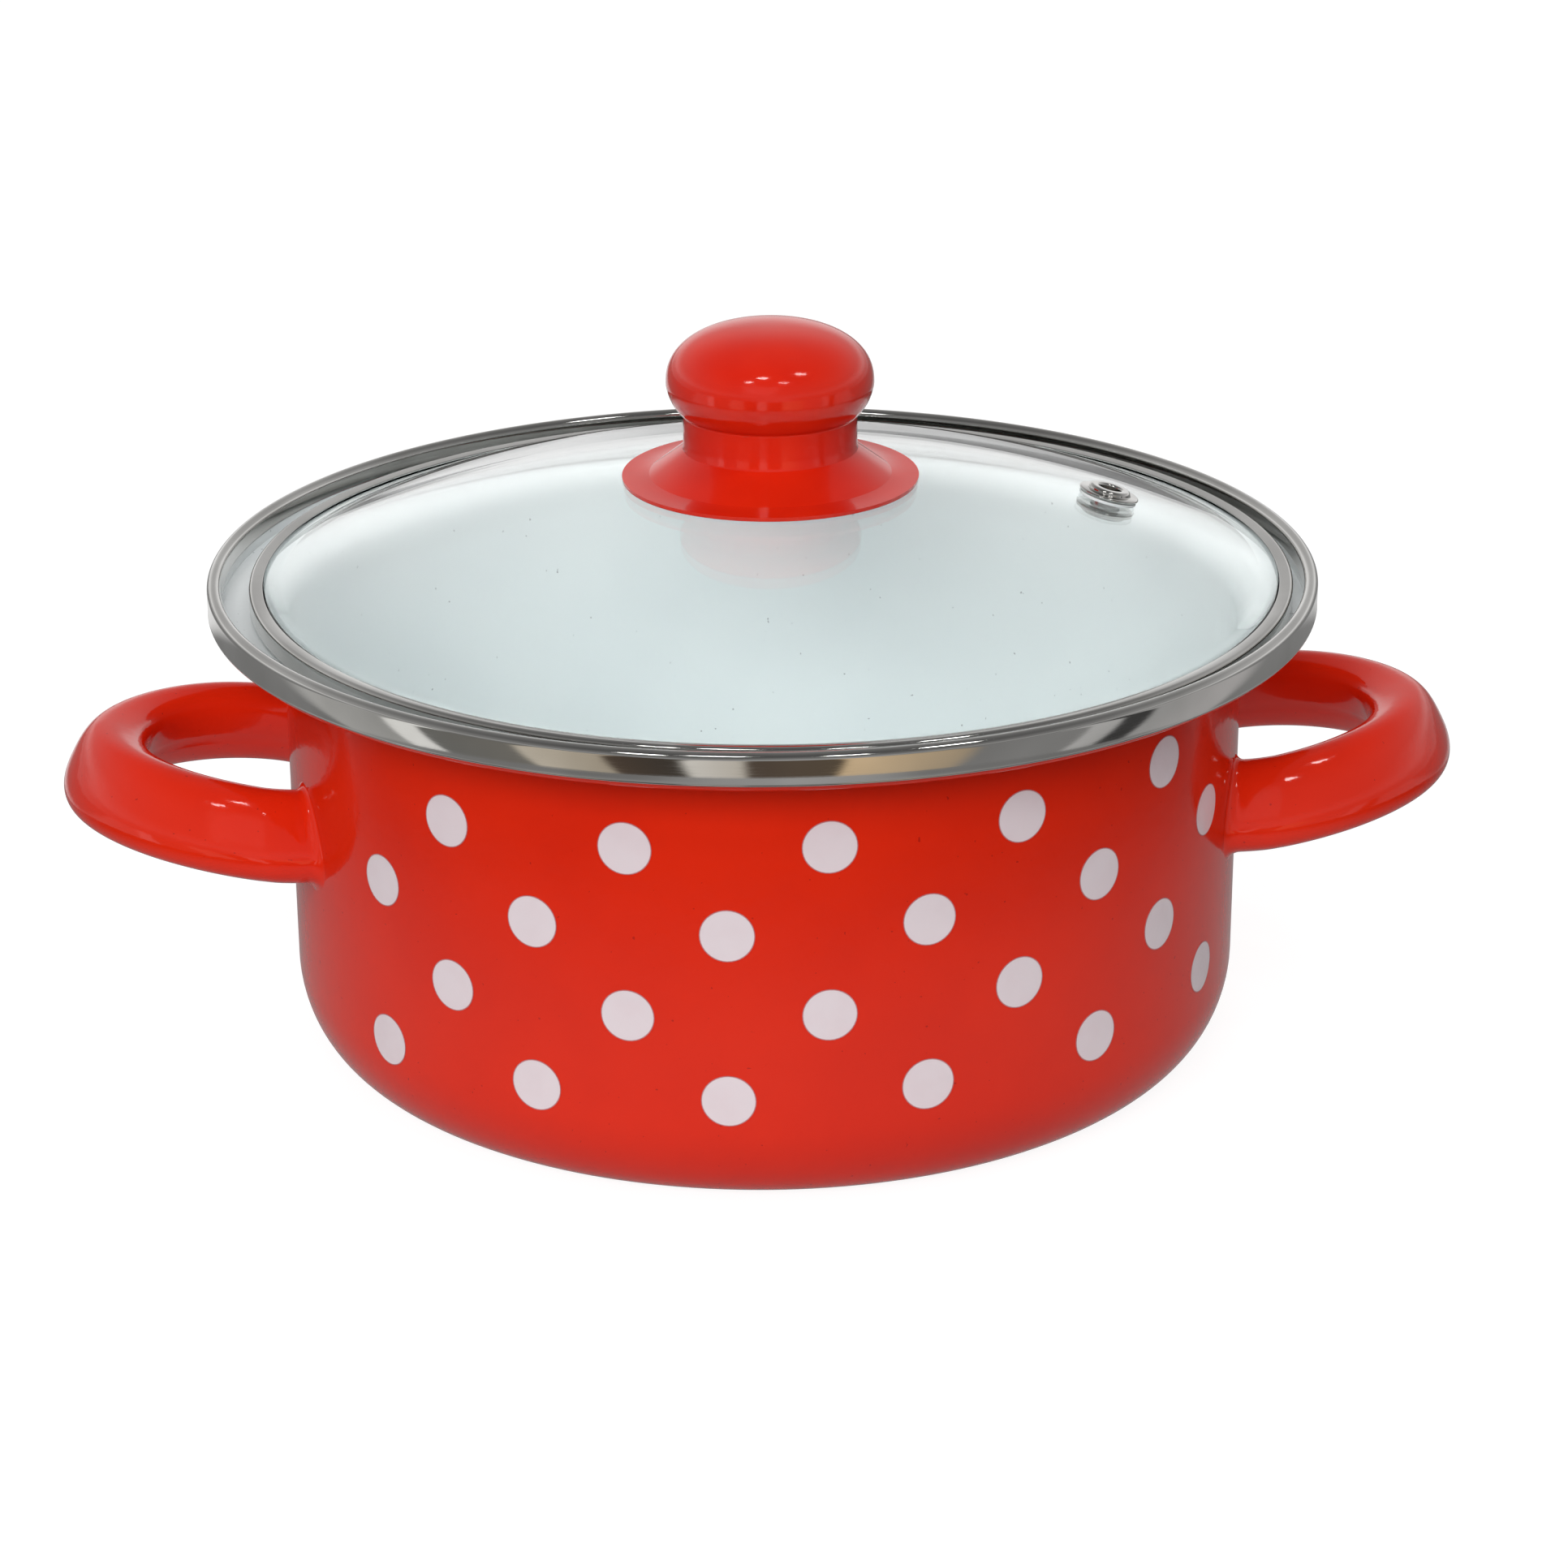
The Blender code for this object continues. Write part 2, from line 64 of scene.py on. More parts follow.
camera_data = bpy.data.cameras.new("camera")
camera_data.sensor_width = 36.0
camera_data.lens = 93.2
camera_data.clip_start = 0.01
camera = bpy.data.objects.new("camera", camera_data)
scene.collection.objects.link(camera)
camera.location = turned_to_pot @ (aim + camera_back * camera_distance)
facing = (turned_to_pot @ camera_back).to_track_quat("Z", "Y").to_matrix()
camera.rotation_euler = (facing @ Matrix.Rotation(camera_roll, 3, "Z")).to_euler()
scene.camera = camera


def lamp(name, place, target, size, power):
    data = bpy.data.lights.new(name, "AREA")
    data.shape = "RECTANGLE"
    data.size, data.size_y = size
    data.energy = power
    fixture = bpy.data.objects.new(name, data)
    fixture.location = place
    direction = Vector(target) - Vector(place)
    fixture.rotation_euler = direction.to_track_quat("-Z", "Y").to_euler()
    scene.collection.objects.link(fixture)
    return fixture


pot_middle = (0.0, 0.0, 0.07)
ceiling_height, panel_size, panel_power = 2.2, (0.34, 0.17), 3.1
panel_places = ((-0.36, -1.14), (0.96, -0.71), (-1.06, -1.61), (0.52, -1.86), (-0.30, 0.50), (0.60, 0.50))
for number, (across, forward) in enumerate(panel_places):
    place = (across, forward, ceiling_height)
    panel = lamp(f"ceiling_{number}", place, (across, forward, 0.0), panel_size, panel_power)
    panel.visible_glossy = forward < 0.0
fill_size = (1.2, 0.8)
for name, place, power in (
    ("front_fill", (-0.45, -1.6, 1.0), 25.0),
    ("back_fill", (0.0, 1.6, 1.0), 7.0),
):
    fill = lamp(name, place, pot_middle, fill_size, power)
    fill.visible_glossy = False
    fill.visible_transmission = False


class Flow:
    """A shader socket that takes part in plain arithmetic. The result of a sum is another one."""

    def __init__(self, tree, socket):
        self.tree, self.socket = tree, socket

    def node(self, kind, settings=None, output=0, **values):
        """Adds a node: its settings first, then the values or links of its sockets, by name."""
        made = self.tree.nodes.new(kind)
        for key, value in (settings or {}).items():
            if key == "stops":
                for place, colour in value:
                    stop = made.color_ramp.elements.new(place)
                    stop.color = colour
                made.color_ramp.elements.remove(made.color_ramp.elements[0])
                made.color_ramp.elements.remove(made.color_ramp.elements[-1])
                continue
            setattr(made, key, value)
        for key, value in values.items():
            number = key.removeprefix("at_")
            socket = made.inputs[int(number)] if number != key else made.inputs[key.replace("_", " ")]
            if isinstance(value, Flow):
                self.tree.links.new(value.socket, socket)
            else:
                socket.default_value = value
        return Flow(self.tree, made.outputs[output])

    def math(self, operation, *values, clamp=False):
        settings = {"operation": operation, "use_clamp": clamp}
        return self.node("ShaderNodeMath", settings, **{f"at_{i}": v for i, v in enumerate(values)})

    def __add__(self, other):
        return self.math("ADD", self, other)

    def __sub__(self, other):
        return self.math("SUBTRACT", self, other)

    def __rsub__(self, other):
        return self.math("SUBTRACT", other, self)

    def __mul__(self, other):
        return self.math("MULTIPLY", self, other)

    def __truediv__(self, other):
        return self.math("DIVIDE", self, other)

    __radd__ = __add__
    __rmul__ = __mul__

    def clamped(self):
        return self.math("ADD", self, 0.0, clamp=True)

    def rises(self, low, high):
        """0 below low, 1 above high, and a smooth step between."""
        settings = {"interpolation_type": "SMOOTHSTEP"}
        return self.node("ShaderNodeMapRange", settings, Value=self, From_Min=low, From_Max=high)

    def blend(self, first, second):
        """A colour that goes from the first to the second as this goes from 0 to 1."""
        return self.node("ShaderNodeMix", {"data_type": "RGBA"}, output=2, at_0=self, at_6=first, at_7=second)

    def noise(self, scale, detail=2.0, roughness=0.5):
        return self.node("ShaderNodeTexNoise", Vector=self, Scale=scale, Detail=detail, Roughness=roughness)

    def axes(self):
        """The three parts of this vector."""
        parts = self.tree.nodes.new("ShaderNodeSeparateXYZ")
        self.tree.links.new(self.socket, parts.inputs[0])
        return [Flow(self.tree, parts.outputs[i]) for i in range(3)]


world = bpy.data.worlds.new("surroundings")
scene.world = world
world.use_nodes = True
tree = world.node_tree
x, y, z = Flow(tree, tree.nodes.new("ShaderNodeTexCoord").outputs["Generated"]).axes()
seen_directly = x.node("ShaderNodeLightPath")
# Camera rays see plain white. All others see a room: lighter behind, dimmer overhead and low at
# the sides.
backdrop = 0.45 + 0.50 * y.rises(-0.6, 0.7)
room = backdrop * (1 - 0.42 * z.rises(0.14, 0.34)) * (1 - 0.60 * z.rises(0.34, 0.9))
at_the_side = x.math("ABSOLUTE", x).rises(0.2, 0.5) * (1 - z.rises(0.06, 0.16))
room = room * (1 - 0.45 * at_the_side)
sky = tree.nodes["Background"]
sky.inputs["Color"].default_value = (1.0, 1.0, 1.0, 1.0)
tree.links.new(x.math("MAXIMUM", room, seen_directly).socket, sky.inputs["Strength"])

# The floor is a white table top. The gloss surfaces mirror it as a real room is mirrored: dull near
# the front, lighter at the sides and the back, and in soft light and dark blocks further out.
floor_mesh = bpy.data.meshes.new("floor")
floor_mesh.from_pydata([(-6, -6, 0), (6, -6, 0), (6, 6, 0), (-6, 6, 0)], [], [(0, 1, 2, 3)])
floor = bpy.data.objects.new("floor", floor_mesh)
floor.location.z = -0.0002
scene.collection.objects.link(floor)
floor_paint = bpy.data.materials.new("floor_paint")
floor_paint.use_nodes = True
tree = floor_paint.node_tree
spread = Flow(tree, tree.nodes.new("ShaderNodeTexCoord").outputs["Object"])
x, y, _ = spread.axes()
distance = x.math("SQRT", x * x + y * y)
behind = y.rises(-0.02, 0.12)
near_pot = 0.30 * (1 - distance.rises(0.16, 0.30)) + 0.03
near_pot = near_pot * (1 - behind) + 0.27 * behind
bearing = x.math("ARCTAN2", x, 0.0 - y) / math.pi + (0.5 + pot_turn / math.pi)
blocks = bearing.node("ShaderNodeValToRGB", {"stops": (
    (0.001, (0.55, 0.55, 0.54, 1.0)), (0.105, (0.44, 0.44, 0.43, 1.0)), (0.112, (1.00, 1.00, 0.98, 1.0)),
    (0.148, (1.00, 1.00, 0.98, 1.0)), (0.155, (0.20, 0.20, 0.19, 1.0)), (0.255, (0.22, 0.21, 0.19, 1.0)),
    (0.265, (0.66, 0.60, 0.50, 1.0)), (0.345, (0.55, 0.48, 0.38, 1.0)), (0.352, (0.11, 0.08, 0.06, 1.0)),
    (0.420, (0.07, 0.06, 0.05, 1.0)), (0.430, (0.95, 0.92, 0.86, 1.0)), (0.480, (0.75, 0.70, 0.62, 1.0)),
    (0.487, (0.12, 0.09, 0.07, 1.0)), (0.575, (0.13, 0.10, 0.07, 1.0)), (0.583, (0.85, 0.64, 0.40, 1.0)),
    (0.695, (0.50, 0.40, 0.28, 1.0)), (0.715, (0.27, 0.27, 0.27, 1.0)), (0.825, (0.31, 0.31, 0.31, 1.0)),
    (0.832, (0.62, 0.62, 0.62, 1.0)), (0.864, (0.55, 0.55, 0.55, 1.0)), (0.872, (0.06, 0.06, 0.06, 1.0)),
    (0.905, (0.06, 0.06, 0.06, 1.0)), (0.914, (0.42, 0.42, 0.42, 1.0)), (0.999, (0.50, 0.49, 0.49, 1.0)),
)}, Fac=bearing)
edge_start = 0.345 - 0.085 * behind
far_out = (distance - edge_start).rises(0.0, 0.012)
beside = (0.62 - 0.26 * x.rises(-0.1, 0.1)) * (1 - x.math("ABSOLUTE", x).rises(0.23, 0.32)) + 0.26
beside = x.node("ShaderNodeCombineColor", Red=beside, Green=beside, Blue=beside)
far_side = y.rises(0.02, 0.10).blend(blocks, beside)
grey = x.node("ShaderNodeCombineColor", Red=near_pot, Green=near_pot, Blue=near_pot)
mirrored = far_out.blend(grey, far_side)
rays = tree.nodes.new("ShaderNodeLightPath")
bounce = 0.70 - 0.50 * distance.rises(0.17, 0.33)
bounce = x.node("ShaderNodeCombineColor", Red=bounce, Green=bounce, Blue=bounce)
mirrored_top = x.node("ShaderNodeEmission", Color=mirrored)
bounce_top = x.node("ShaderNodeBsdfDiffuse", Color=bounce)
lit_top = x.node("ShaderNodeBsdfDiffuse", Color=(0.85, 0.85, 0.85, 1.0))
table_glow = x.node("ShaderNodeEmission", Strength=1.16)
table_top = x.node("ShaderNodeMixShader", at_0=0.78, at_1=lit_top, at_2=table_glow)
for_mirrors = Flow(tree, rays.outputs["Is Glossy Ray"])
for_camera = Flow(tree, rays.outputs["Is Camera Ray"])
unseen = x.node("ShaderNodeMixShader", at_0=for_mirrors, at_1=bounce_top, at_2=mirrored_top)
either = x.node("ShaderNodeMixShader", at_0=for_camera, at_1=unseen, at_2=table_top)
tree.links.new(either.socket, tree.nodes["Material Output"].inputs["Surface"])
floor_mesh.materials.append(floor_paint)


# ---------------------------------------------------------------------------------------------
# The pot: one steel pressing with a flat base, a rounded corner, an upright wall, a ledge for the
# lid and a short upstand. It is dipped in red vitreous enamel and fired, so its gloss coat is
# glassy and slightly rippled; its red varies at random in tone and is darker towards the bottom.

def finish(name, **constants):
    """A new Principled material with its even values set, a start for its maths, and a way to feed it."""
    look = bpy.data.materials.new(name)
    look.use_nodes = True
    tree = look.node_tree
    shader = tree.nodes["Principled BSDF"]
    for key, value in constants.items():
        shader.inputs[key.replace("_", " ")].default_value = value
    start = Flow(tree, tree.nodes.new("ShaderNodeTexCoord").outputs["Object"])

    def feed(**flows):
        for key, flow in flows.items():
            tree.links.new(flow.socket, shader.inputs[key.replace("_", " ")])

    return look, start, feed


def arc(centre, radii, start, end, steps):
    """Points from start to end, in degrees, round an ellipse in the (radius, height) plane."""
    angles = [math.radians(start + (end - start) * i / steps) for i in range(steps + 1)]
    return [(centre[0] + radii[0] * math.cos(a), centre[1] + radii[1] * math.sin(a)) for a in angles]


def straight(start, end, steps):
    """Points between two corners, without the corners themselves."""
    return [tuple(a + (b - a) * i / steps for a, b in zip(start, end)) for i in range(1, steps)]


def group_with(name, inputs):
    """A geometry node tree with these named inputs, and one geometry output."""
    tree = bpy.data.node_groups.new(name, "GeometryNodeTree")
    for label, kind in inputs:
        tree.interface.new_socket(label, in_out="INPUT", socket_type=kind)
    tree.interface.new_socket("Shape", in_out="OUTPUT", socket_type="NodeSocketGeometry")
    return tree, tree.nodes.new("NodeGroupInput"), tree.nodes.new("NodeGroupOutput")


def set_inputs(modifier, **values):
    """Sets a node modifier's inputs by their names in the tree."""
    named = {item.name: item.identifier for item in modifier.node_group.interface.items_tree}
    for key, value in values.items():
        modifier[named[key.replace("_", " ")]] = value


def baked(carrier, name):
    """The evaluated shape as a plain mesh object, closed and facing out. The carrier is removed."""
    bpy.context.view_layer.update()
    evaluated = carrier.evaluated_get(bpy.context.evaluated_depsgraph_get())
    mesh = bpy.data.meshes.new_from_object(evaluated)
    mesh.name = name
    bpy.data.objects.remove(carrier)
    shape = bmesh.new()
    shape.from_mesh(mesh)
    bmesh.ops.remove_doubles(shape, verts=shape.verts, dist=1e-6)
    bmesh.ops.dissolve_degenerate(shape, edges=shape.edges, dist=1e-8)
    bmesh.ops.recalc_face_normals(shape, faces=shape.faces)
    shape.to_mesh(mesh)
    shape.free()
    mesh.shade_smooth()
    mesh.set_sharp_from_angle(angle=math.radians(40.0))
    piece = bpy.data.objects.new(name, mesh)
    scene.collection.objects.link(piece)
    return piece


# The turning tree sweeps a closed outline round the Z axis. The outline lies in its object's XY
# plane, moved in by the sweep circle's radius, with its height along -Y.
SWEEP_RADIUS = 0.1
turning, turning_in, turning_out = group_with(
    "turning",
    (("Outline", "NodeSocketGeometry"), ("Facets", "NodeSocketInt"), ("Finish", "NodeSocketMaterial")),
)
circle = turning.nodes.new("GeometryNodeCurvePrimitiveCircle")
circle.inputs["Radius"].default_value = SWEEP_RADIUS
outline_curve = turning.nodes.new("GeometryNodeMeshToCurve")
sweep = turning.nodes.new("GeometryNodeCurveToMesh")
real = turning.nodes.new("GeometryNodeRealizeInstances")
painted = turning.nodes.new("GeometryNodeSetMaterial")
turning.links.new(turning_in.outputs["Facets"], circle.inputs["Resolution"])
turning.links.new(turning_in.outputs["Outline"], outline_curve.inputs[0])
turning.links.new(circle.outputs[0], sweep.inputs["Curve"])
turning.links.new(outline_curve.outputs[0], sweep.inputs["Profile Curve"])
turning.links.new(sweep.outputs[0], real.inputs[0])
turning.links.new(real.outputs[0], painted.inputs["Geometry"])
turning.links.new(turning_in.outputs["Finish"], painted.inputs["Material"])
turning.links.new(painted.outputs[0], turning_out.inputs["Shape"])


def turned(name, outline, look, facets=192, place=None):
    """A turned piece from a closed (radius, height) outline. place moves it off the Z axis."""
    mesh = bpy.data.meshes.new(name + "_outline")
    count = len(outline)
    points = [(radius - SWEEP_RADIUS, -height, 0.0) for radius, height in outline]
    mesh.from_pydata(points, [(i, (i + 1) % count) for i in range(count)], [])
    carrier = bpy.data.objects.new(name + "_outline", mesh)
    scene.collection.objects.link(carrier)
    modifier = carrier.modifiers.new("turning", "NODES")
    modifier.node_group = turning
    set_inputs(modifier, Facets=facets, Finish=look)
    piece = baked(carrier, name)
    if place is not None:
        piece.data.transform(place)
    return piece


gap, sheet, lining_thickness = 0.0003, 0.0010, 0.0004
trim_sheet, trim_taper, trim_leg_depth = 0.0004, 0.0003, 0.0040
rim_overhang, ledge_depth = 0.0153, 0.0064
wall_radius = trim_radius - rim_overhang
ledge_top = rim_top - ledge_depth - lining_thickness - gap
upstand_radius = trim_radius - trim_taper - trim_sheet - gap


def pot_section(inset):
    """The pot's section, this far inside the steel's outer face, from the axis to the upstand's foot."""
    corner_run, corner_rise, flare, bend = 0.0132, 0.0185, 0.0045, 0.0018
    under_ledge = ledge_top - sheet
    points = [(0.0, inset)] + straight((0.0, inset), (wall_radius - corner_run, inset), 12)
    corner_middle = (wall_radius - corner_run, corner_rise)
    points += arc(corner_middle, (corner_run - inset, corner_rise - inset), -90, 0, 20)
    points += straight(points[-1], (wall_radius - inset, under_ledge - flare), 14)
    points += arc((wall_radius + flare, under_ledge - flare), (flare + inset, flare + inset), 180, 90, 10)
    foot = (upstand_radius - bend, under_ledge + bend)
    points += arc(foot, (bend - inset, bend - inset), -90, 0, 6)
    return points


red_enamel, spot, feed_red = finish("red_enamel", IOR=1.5)
z = spot.axes()[2]
pooled = spot.noise(28.0, 3.0)
# The red is darker towards the bottom of the pot: fully darkened below 4 mm, fading out by 22 mm.
darker_towards_bottom = 1 - z.rises(0.004, 0.022)
shade = (pooled.rises(0.35, 0.70) * 0.35 + darker_towards_bottom * 0.45).clamped()
deep_red, bright_red = (0.58, 0.013, 0.003, 1.0), (0.70, 0.021, 0.004, 1.0)
speck = spot.noise(900.0, 1.0).rises(0.765, 0.79)
feed_red(
    Base_Color=(speck * 0.5).blend(shade.blend(bright_red, deep_red), (0.20, 0.004, 0.003, 1.0)),
    Roughness=0.06 + 0.06 * spot.noise(60.0, 3.0),
    Normal=spot.node(
        "ShaderNodeBump", Strength=0.12, Distance=0.0004,
        Height=spot.noise(220.0, 2.0) + 0.35 * spot.noise(900.0, 1.0)),
)

upstand_top = rim_top - trim_sheet - 2 * gap - sheet / 2
upstand_edge = arc((upstand_radius - sheet / 2, upstand_top), (sheet / 2, sheet / 2), 0, 180, 8)
pot_shell = turned("pot_body", pot_section(0.0) + upstand_edge + pot_section(sheet)[::-1], red_enamel)
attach(pot_shell, "pot")
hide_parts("pot_shell")


# ---------------------------------------------------------------------------------------------
# The dots: a second, pale enamel screened on to the fired red and fired again. Rows of five and
# six alternate on the front and on the back, with the sides left plain round the handles.

dot_enamel, spot, feed_dot = finish("dot_enamel", IOR=1.5)
thin = spot.noise(160.0, 2.0).rises(0.35, 0.8)
outermost = spot.node("ShaderNodeAttribute", {"attribute_name": "reach"}, output=2).rises(0.94, 0.985)
pale = (thin * 0.22).blend((0.74, 0.66, 0.69, 1.0), (0.68, 0.55, 0.58, 1.0))
feed_dot(
    Base_Color=(outermost * 0.8).blend(pale, (0.42, 0.03, 0.03, 1.0)),
    Roughness=0.10 + 0.10 * spot.noise(240.0, 2.0),
    Normal=spot.node("ShaderNodeBump", Strength=0.15, Distance=0.0003, Height=spot.noise(500.0, 2.0)),
)

dots, dots_in, dots_out = group_with("dot_rows", (
    ("Geometry", "NodeSocketGeometry"), ("Wall Radius", "NodeSocketFloat"), ("Dot Radius", "NodeSocketFloat"),
    ("Thickness", "NodeSocketFloat"), ("Pitch", "NodeSocketFloat"), ("Row Spacing", "NodeSocketFloat"),
    ("Top Row", "NodeSocketFloat"), ("Row Climb", "NodeSocketFloat"), ("Middle", "NodeSocketFloat"),
    ("Finish", "NodeSocketMaterial"),
))


def step(tree, operation, *values):
    """One Math node in a geometry tree, with its inputs set or linked."""
    made = tree.nodes.new("ShaderNodeMath")
    made.operation = operation
    for socket, value in zip(made.inputs, values):
        if isinstance(value, bpy.types.NodeSocket):
            tree.links.new(value, socket)
        else:
            socket.default_value = value
    return made.outputs[0]


def linked(tree, kind, output=0, settings=None, **values):
    """Any other node in a geometry tree, in the same way."""
    made = tree.nodes.new(kind)
    for key, value in (settings or {}).items():
        setattr(made, key, value)
    for key, value in values.items():
        socket = made.inputs[key.replace("_", " ")]
        if isinstance(value, bpy.types.NodeSocket):
            tree.links.new(value, socket)
        else:
            socket.default_value = value
    return made.outputs[output]


# Each panel repeats a five and a six twice over: 22 dots. A point's number gives its panel, row
# and column.
panel_dots, pair_dots, short_row = 22, 11, 5
number = linked(dots, "GeometryNodeInputIndex")
panel = step(dots, "FLOOR", step(dots, "DIVIDE", number, float(panel_dots)))
in_panel = step(dots, "MODULO", number, float(panel_dots))
pair = step(dots, "FLOOR", step(dots, "DIVIDE", in_panel, float(pair_dots)))
in_pair = step(dots, "MODULO", in_panel, float(pair_dots))
long_row = step(dots, "GREATER_THAN", in_pair, short_row - 0.5)
row = step(dots, "ADD", step(dots, "MULTIPLY", pair, 2.0), long_row)
first_column = step(dots, "ADD", step(dots, "MULTIPLY", long_row, 5.5), 2.0)
column = step(dots, "SUBTRACT", in_pair, first_column)
swing = step(dots, "MULTIPLY", column, dots_in.outputs["Pitch"])
half_turn = step(dots, "MULTIPLY", panel, math.pi)
bearing = step(dots, "ADD", step(dots, "ADD", swing, half_turn), dots_in.outputs["Middle"])
reach_round = step(dots, "MULTIPLY", bearing, dots_in.outputs["Wall Radius"])
drop = step(dots, "MULTIPLY", row, dots_in.outputs["Row Spacing"])
level = step(dots, "SUBTRACT", dots_in.outputs["Top Row"], drop)
level = step(dots, "ADD", level, step(dots, "MULTIPLY", swing, dots_in.outputs["Row Climb"]))
flat_place = linked(dots, "ShaderNodeCombineXYZ", X=reach_round, Z=level)
points = linked(dots, "GeometryNodePoints", Count=2 * panel_dots, Position=flat_place)
disc = linked(
    dots, "GeometryNodeMeshCylinder", settings={"fill_type": "TRIANGLE_FAN"}, Vertices=40, Fill_Segments=3,
    Radius=dots_in.outputs["Dot Radius"], Depth=dots_in.outputs["Thickness"])
from_middle = dots.nodes.new("ShaderNodeSeparateXYZ")
dots.links.new(linked(dots, "GeometryNodeInputPosition"), from_middle.inputs[0])
flat_reach = [step(dots, "MULTIPLY", part, part) for part in from_middle.outputs[:2]]
flat_reach = step(dots, "SQRT", step(dots, "ADD", *flat_reach))
marked = linked(
    dots, "GeometryNodeStoreNamedAttribute", Geometry=disc, Name="reach",
    Value=step(dots, "DIVIDE", flat_reach, dots_in.outputs["Dot Radius"]))
placed = linked(
    dots, "GeometryNodeInstanceOnPoints", Points=points, Instance=marked,
    Rotation=Vector((math.radians(90.0), 0.0, 0.0)))
flat = linked(dots, "GeometryNodeRealizeInstances", Geometry=placed)
along = dots.nodes.new("ShaderNodeSeparateXYZ")
dots.links.new(linked(dots, "GeometryNodeInputPosition"), along.inputs[0])
angle = step(dots, "DIVIDE", along.outputs["X"], dots_in.outputs["Wall Radius"])
radius = step(dots, "SUBTRACT", dots_in.outputs["Wall Radius"], along.outputs["Y"])
wrapped = linked(
    dots, "ShaderNodeCombineXYZ", X=step(dots, "MULTIPLY", radius, step(dots, "COSINE", angle)),
    Y=step(dots, "MULTIPLY", radius, step(dots, "SINE", angle)), Z=along.outputs["Z"])
on_wall = linked(dots, "GeometryNodeSetPosition", Geometry=flat, Position=wrapped)
coloured = linked(dots, "GeometryNodeSetMaterial", Geometry=on_wall, Material=dots_in.outputs["Finish"])
dots.links.new(coloured, dots_out.inputs["Shape"])

carrier = bpy.data.objects.new("dot_points", bpy.data.meshes.new("dot_points"))
scene.collection.objects.link(carrier)
pattern = carrier.modifiers.new("dot_rows", "NODES")
pattern.node_group = dots
set_inputs(
    pattern, Wall_Radius=wall_radius, Dot_Radius=0.00545, Thickness=0.00016, Pitch=math.radians(22.45),
    Row_Spacing=0.01753, Top_Row=rim_top - 0.0250, Row_Climb=0.0029, Middle=math.radians(-86.9),
    Finish=dot_enamel)
pale_dots = baked(carrier, "pale_dots")
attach(pale_dots, "pot")


# ---------------------------------------------------------------------------------------------
# The lining: white vitreous enamel fused over the inside of the steel, from the floor up over the
# lid's ledge. It has the same fired gloss as the red, with a faint blue cast.

white_enamel, spot, feed_white = finish("white_enamel", IOR=1.5)
tone = spot.noise(22.0, 3.0).rises(0.3, 0.75)
speck = spot.noise(800.0, 1.0).rises(0.775, 0.80)
feed_white(
    Base_Color=(speck * 0.6).blend(
        tone.blend((0.85, 0.89, 0.895, 1.0), (0.815, 0.86, 0.87, 1.0)), (0.12, 0.13, 0.14, 1.0)),
    Roughness=0.08 + 0.08 * spot.noise(70.0, 3.0),
    Normal=spot.node("ShaderNodeBump", Strength=0.12, Distance=0.0004, Height=spot.noise(200.0, 2.0)),
)

lining_top = rim_top - trim_leg_depth - gap
lining_bevel = 0.0001
lining_outer = pot_section(sheet + gap)
lining_inner = pot_section(sheet + gap + lining_thickness)
outer_edge, inner_edge = lining_outer[-1][0], lining_inner[-1][0]
lining_edge = [(outer_edge, lining_top - lining_bevel), (outer_edge - lining_bevel, lining_top)]
lining_edge += [(inner_edge + lining_bevel, lining_top), (inner_edge, lining_top - lining_bevel)]
enamel_lining = turned("enamel_inside", lining_outer + lining_edge + lining_inner[::-1], white_enamel)
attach(enamel_lining, "pot")
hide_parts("enamel_lining")


# ---------------------------------------------------------------------------------------------
# The rim trim: a stainless strip rolled over the upstand as an inverted channel. It is polished
# along its length, so its fine scratches run round it, and its lower edge is curled into a lip.

stainless, spot, feed_steel = finish("polished_stainless", Metallic=1.0)
x, y, z = spot.axes()
distance = x.math("SQRT", x * x + y * y)
rings = spot.node("ShaderNodeCombineXYZ", X=distance, Y=z, Z=0.0)
hairlines = rings.noise(5200.0, 3.0, 0.7)
smears = spot.noise(38.0, 3.0)
feed_steel(
    Base_Color=smears.rises(0.3, 0.7).blend((0.66, 0.65, 0.63, 1.0), (0.55, 0.54, 0.52, 1.0)),
    Roughness=0.03 + 0.05 * hairlines.rises(0.3, 0.7) + 0.03 * smears,
    Normal=spot.node("ShaderNodeBump", Strength=0.05, Distance=0.00005, Height=hairlines),
)

trim_width, trim_height, lip_radius = 0.0029, 0.0065, 0.00035
bead = (trim_radius - trim_width / 2, rim_top - trim_width / 2)
hollow = trim_width / 2 - trim_sheet
band_bottom = rim_top - trim_height
lip = (trim_radius - trim_taper - trim_sheet + lip_radius, band_bottom + lip_radius)
leg = (trim_radius - trim_width, rim_top - trim_leg_depth)
outline = [leg, (leg[0] + trim_sheet, leg[1])]
outline += arc(bead, (hollow, hollow), 180, 0, 16)
outline += arc(lip, (lip_radius, lip_radius), 180, 395, 18)
outline += arc(bead, (trim_width / 2, trim_width / 2), 0, 180, 24)
rim_trim = turned("rim_band", outline, stainless, 256)
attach(rim_trim, "pot")
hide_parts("rim_trim")


# ---------------------------------------------------------------------------------------------
# The handles: hollow loops of pressed steel, welded to the wall and enamelled with it. The section
# leans in at its top and is fuller inside the bend, a fine seam runs along its inner side, and
# enamel fills the corner at each weld.

handle_reach, handle_leg, handle_half, handle_pinch = 0.0405, 0.0042, 0.0331, 0.0026
handle_level, handle_rise, handle_bow, bend_fullness = 0.0554, 0.0060, 0.5, 1.82
handle_tall, handle_wide, handle_fullness, handle_lean = 0.0194, 0.0117, 2.6, math.radians(27.3)
weld_fillet, turn_in, bend_plump = 0.0022, 0.0060, 0.42
seam_depth, seam_spread = 0.00018, 0.035


def signed_power(value, power):
    return math.copysign(abs(value) ** power, value)


